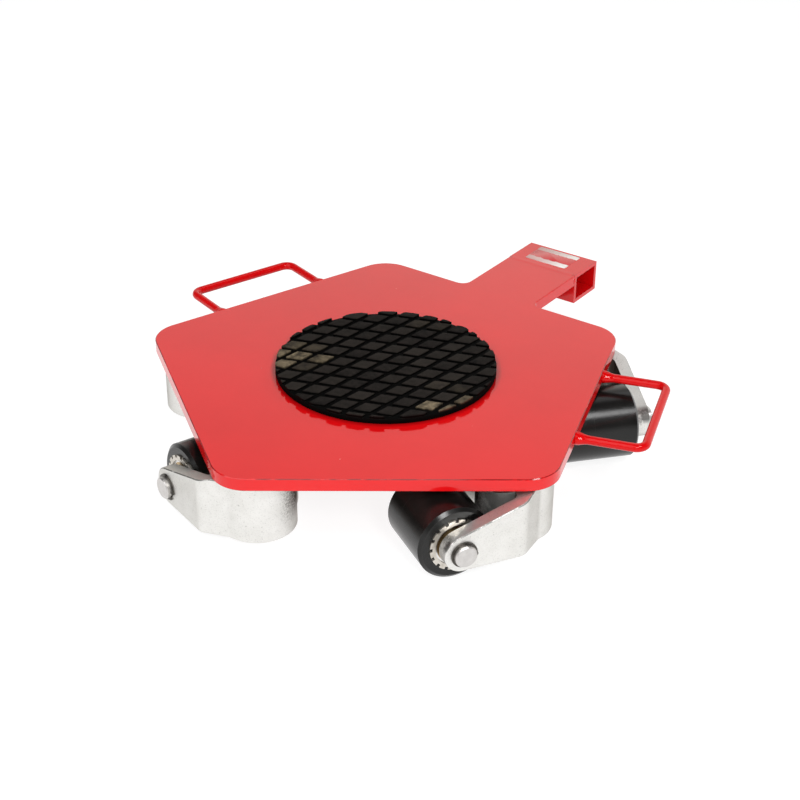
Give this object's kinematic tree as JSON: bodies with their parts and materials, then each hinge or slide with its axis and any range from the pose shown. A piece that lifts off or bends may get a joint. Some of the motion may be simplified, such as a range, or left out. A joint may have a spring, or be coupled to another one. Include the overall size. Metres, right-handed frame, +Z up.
{
  "type": "machine skate",
  "caption": "Five-sided steel deck on swivelling caster rollers, with a round rubber load pad, bent-bar carrying handles and a tow tongue, for turning and moving heavy machines.",
  "frame": {"origin": "on the floor under the middle of the part's box", "axes": "+Z up, +Y along the tow tongue, X across the deck, which is symmetrical about X = 0"},
  "size_m": [0.6516, 0.6912, 0.1175],
  "materials": {
    "red_paint": "gloss",
    "pad_rubber": "matte",
    "cast_fork": "zinc-coated casting",
    "roller_nylon": "satin",
    "plain_steel": "turned",
    "plated_steel": "zinc plated",
    "spring_steel": "dark, oiled",
    "bearing_steel": "ground",
    "bush_bronze": "machined"
  },
  "bodies": {
    "deck": {"base_plate": "red_paint", "tow_tube": "red_paint", "load_pad": "pad_rubber", "handle_right": "red_paint", "handle_left": "red_paint", "king_pins": "plain_steel", "king_nuts": "plated_steel", "thrust_upper_races": "bearing_steel", "thrust_balls": "bearing_steel"},
    "rear_caster": {"rear_fork": "cast_fork", "rear_swivel_bush": "bush_bronze", "rear_thrust_lower_race": "bearing_steel", "rear_dust_cap": "plated_steel", "rear_axle": "plain_steel", "rear_axle_circlips": "spring_steel", "rear_bearing_inner_rings": "bearing_steel"},
    "rear_wheel": {"rear_roller": "roller_nylon", "rear_roller_bearings": "bearing_steel", "rear_retaining_rings": "plated_steel"},
    "right_caster": {"right_fork": "cast_fork", "right_swivel_bush": "bush_bronze", "right_thrust_lower_race": "bearing_steel", "right_dust_cap": "plated_steel", "right_axle": "plain_steel", "right_axle_circlips": "spring_steel", "right_bearing_inner_rings": "bearing_steel"},
    "right_wheel": {"right_roller": "roller_nylon", "right_roller_bearings": "bearing_steel", "right_retaining_rings": "plated_steel"},
    "front_right_caster": {"front_right_fork": "cast_fork", "front_right_swivel_bush": "bush_bronze", "front_right_thrust_lower_race": "bearing_steel", "front_right_dust_cap": "plated_steel", "front_right_axle": "plain_steel", "front_right_axle_circlips": "spring_steel", "front_right_bearing_inner_rings": "bearing_steel"},
    "front_right_wheel": {"front_right_roller": "roller_nylon", "front_right_roller_bearings": "bearing_steel", "front_right_retaining_rings": "plated_steel"},
    "front_left_caster": {"front_left_fork": "cast_fork", "front_left_swivel_bush": "bush_bronze", "front_left_thrust_lower_race": "bearing_steel", "front_left_dust_cap": "plated_steel", "front_left_axle": "plain_steel", "front_left_axle_circlips": "spring_steel", "front_left_bearing_inner_rings": "bearing_steel"},
    "front_left_wheel": {"front_left_roller": "roller_nylon", "front_left_roller_bearings": "bearing_steel", "front_left_retaining_rings": "plated_steel"},
    "left_caster": {"left_fork": "cast_fork", "left_swivel_bush": "bush_bronze", "left_thrust_lower_race": "bearing_steel", "left_dust_cap": "plated_steel", "left_axle": "plain_steel", "left_axle_circlips": "spring_steel", "left_bearing_inner_rings": "bearing_steel"},
    "left_wheel": {"left_roller": "roller_nylon", "left_roller_bearings": "bearing_steel", "left_retaining_rings": "plated_steel"}
  },
  "joints": [
    {"name": "rear_swivel", "type": "hinge", "parent": "deck", "child": "rear_caster", "pos_m": [0, -0.29238, 0.0845], "axis": [0, 0, 1], "continuous": true},
    {"name": "rear_roll", "type": "hinge", "parent": "rear_caster", "child": "rear_wheel", "pos_m": [-0.08358, -0.26327, 0.0425], "axis": [-0.3289, -0.9444, 0], "continuous": true},
    {"name": "right_swivel", "type": "hinge", "parent": "deck", "child": "right_caster", "pos_m": [0.22358, -0.12994, 0.0845], "axis": [0, 0, 1], "continuous": true},
    {"name": "right_roll", "type": "hinge", "parent": "right_caster", "child": "right_wheel", "pos_m": [0.17787, -0.20572, 0.0425], "axis": [0.8563, -0.5165, 0], "continuous": true},
    {"name": "front_right_swivel", "type": "hinge", "parent": "deck", "child": "front_right_caster", "pos_m": [0.13818, 0.1329, 0.0845], "axis": [0, 0, 1], "continuous": true},
    {"name": "front_right_roll", "type": "hinge", "parent": "front_right_caster", "child": "front_right_wheel", "pos_m": [0.20507, 0.07495, 0.0425], "axis": [0.6547, 0.7559, 0], "continuous": true},
    {"name": "front_left_swivel", "type": "hinge", "parent": "deck", "child": "front_left_caster", "pos_m": [-0.13818, 0.1329, 0.0845], "axis": [0, 0, 1], "continuous": true},
    {"name": "front_left_roll", "type": "hinge", "parent": "front_left_caster", "child": "front_left_wheel", "pos_m": [-0.05733, 0.16889, 0.0425], "axis": [-0.4067, 0.9135, 0], "continuous": true},
    {"name": "left_swivel", "type": "hinge", "parent": "deck", "child": "left_caster", "pos_m": [-0.22358, -0.12994, 0.0845], "axis": [0, 0, 1], "continuous": true},
    {"name": "left_roll", "type": "hinge", "parent": "left_caster", "child": "left_wheel", "pos_m": [-0.23283, -0.04192, 0.0425], "axis": [-0.9945, -0.1045, 0], "continuous": true}
  ]
}
